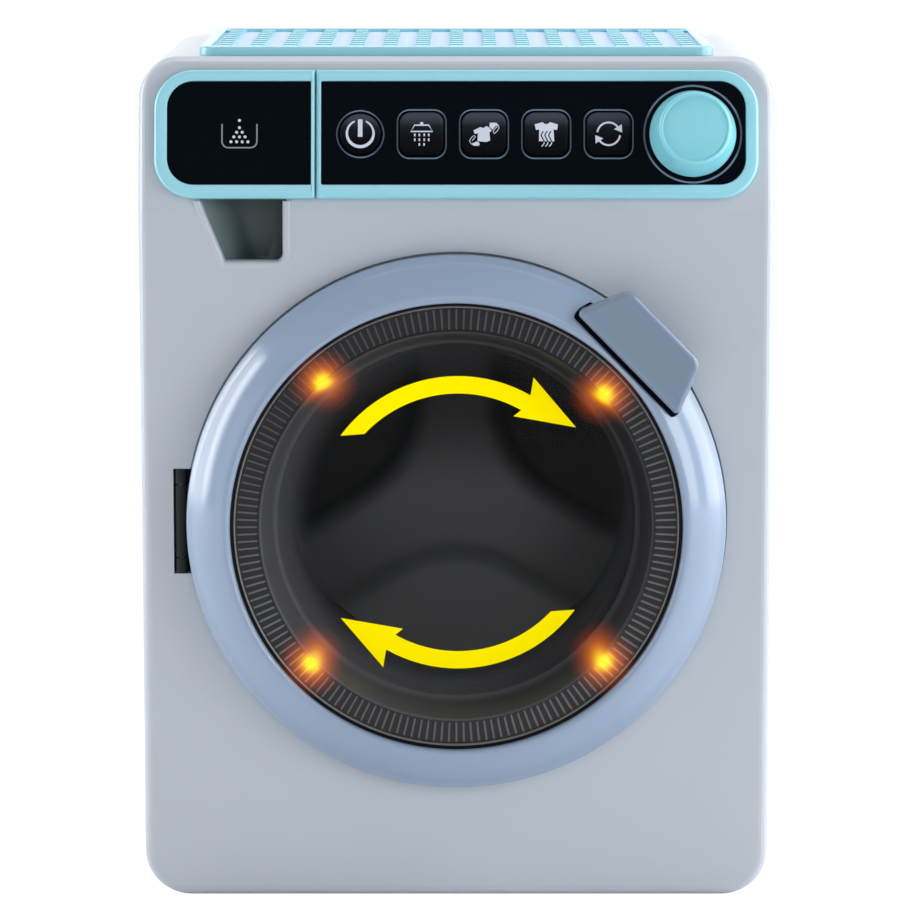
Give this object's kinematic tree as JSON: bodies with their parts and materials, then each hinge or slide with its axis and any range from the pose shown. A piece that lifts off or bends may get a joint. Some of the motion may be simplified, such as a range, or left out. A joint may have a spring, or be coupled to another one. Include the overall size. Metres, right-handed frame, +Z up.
{
  "type": "toy washing machine",
  "caption": "Front-loading toy washing machine with a hinged round door, a motor-driven drum, a sliding drawer, press keys and a programme knob.",
  "frame": {"origin": "centre of the bounding box, on the floor plane", "axes": "+Z up, the door and the control panel face -Y, +X is to the viewer's right"},
  "size_m": [0.19, 0.1462, 0.2575],
  "materials": {
    "shell": "satin light grey moulding",
    "turquoise": "glossy pale turquoise moulding",
    "black": "glossy black panel",
    "ring": "glossy blue-grey moulding with a pearly sheen",
    "smoke": "smoke-tinted clear moulding, printed on its inner face",
    "dark": "dark grey moulding",
    "drum": "dark grey moulding",
    "ivory": "natural white acetal",
    "amber": "clear amber lens",
    "steel": "plain steel",
    "screw": "zinc-plated steel",
    "brass": "turned brass",
    "board": "green circuit board",
    "cell": "plain green jacket",
    "insulation": "red wire insulation"
  },
  "bodies": {
    "base": {"cabinet": "shell", "rear_cover": "shell", "rear_screws": "screw", "top_grille": "turquoise", "control_bezel": "turquoise", "control_window": "black", "control_board": "board", "board_screws": "screw", "tact_switches": "dark", "encoder_body": "steel", "drawer_guide": "ivory", "guide_screws": "screw", "latch_catch": "dark", "hinge_bracket": "dark", "bracket_screws": "screw", "hinge_pin": "steel", "tub": "dark", "tub_screws": "screw", "lamps": "amber", "shaft_bush": "brass", "idler_pin": "steel", "gear_cover": "dark", "cover_screws": "screw", "motor": "steel", "battery_cells": "cell", "battery_contacts": "steel", "battery_door": "shell", "battery_screw": "screw", "speaker": "dark", "leads": "insulation"},
    "door": {"door_ring": "ring", "door_back": "ring", "door_screws": "screw", "door_window": "smoke", "handle_pin": "steel", "hinge_arm": "dark", "arm_screws": "screw"},
    "handle": {"door_handle": "ring"},
    "drum": {"drum": "drum", "drum_star": "drum", "drum_shaft": "steel", "drum_gear": "ivory"},
    "idler": {"idler_gear": "ivory"},
    "pinion": {"motor_pinion": "brass"},
    "knob": {"knob": "turquoise", "encoder_shaft": "steel"},
    "power_key": {"power_key": "black"},
    "key_1": {"key_1": "black"},
    "key_2": {"key_2": "black"},
    "key_3": {"key_3": "black"},
    "key_4": {"key_4": "black"},
    "drawer": {"drawer_front": "turquoise", "drawer_window": "black", "drawer_tray": "ivory"}
  },
  "joints": [
    {"name": "door_hinge", "type": "hinge", "parent": "base", "child": "door", "pos_m": [-0.083, -0.0557, 0.116], "axis": [0, 0, -1], "range_deg": [0, 95]},
    {"name": "handle_pull", "type": "hinge", "parent": "door", "child": "handle", "pos_m": [0.05351, -0.0677, 0.1684], "axis": [0.6997, 0, -0.7145], "range_deg": [0, 10], "stiffness_Nm_per_rad": 0.12, "springref_deg": -2.86},
    {"name": "drum_spin", "type": "hinge", "parent": "base", "child": "drum", "pos_m": [0, -0.0169, 0.116], "axis": [0, -1, 0], "continuous": true},
    {"name": "idler_spin", "type": "hinge", "parent": "base", "child": "idler", "pos_m": [0, 0.0311, 0.1448], "axis": [0, -1, 0], "continuous": true},
    {"name": "motor_spin", "type": "hinge", "parent": "base", "child": "pinion", "pos_m": [0.024, 0.0311, 0.1448], "axis": [0, -1, 0], "continuous": true},
    {"name": "knob_turn", "type": "hinge", "parent": "base", "child": "knob", "pos_m": [0.0704, -0.05222, 0.23201], "axis": [0, -0.9781, 0.2079], "continuous": true},
    {"name": "power_press", "type": "slide", "parent": "base", "child": "power_key", "axis": [0, 0.9781, -0.2079], "range_m": [0, 0.0008], "stiffness_N_per_m": 900, "springref_m": -0.0006},
    {"name": "key_1_press", "type": "slide", "parent": "base", "child": "key_1", "axis": [0, 0.9781, -0.2079], "range_m": [0, 0.0008], "stiffness_N_per_m": 900, "springref_m": -0.0006},
    {"name": "key_2_press", "type": "slide", "parent": "base", "child": "key_2", "axis": [0, 0.9781, -0.2079], "range_m": [0, 0.0008], "stiffness_N_per_m": 900, "springref_m": -0.0006},
    {"name": "key_3_press", "type": "slide", "parent": "base", "child": "key_3", "axis": [0, 0.9781, -0.2079], "range_m": [0, 0.0008], "stiffness_N_per_m": 900, "springref_m": -0.0006},
    {"name": "key_4_press", "type": "slide", "parent": "base", "child": "key_4", "axis": [0, 0.9781, -0.2079], "range_m": [0, 0.0008], "stiffness_N_per_m": 900, "springref_m": -0.0006},
    {"name": "drawer_slide", "type": "slide", "parent": "base", "child": "drawer", "axis": [0, -1, 0], "range_m": [0, 0.05]}
  ],
  "couplings": [
    {"joint": "idler_spin", "follows": "drum_spin", "ratio": -5},
    {"joint": "motor_spin", "follows": "drum_spin", "ratio": 20}
  ]
}
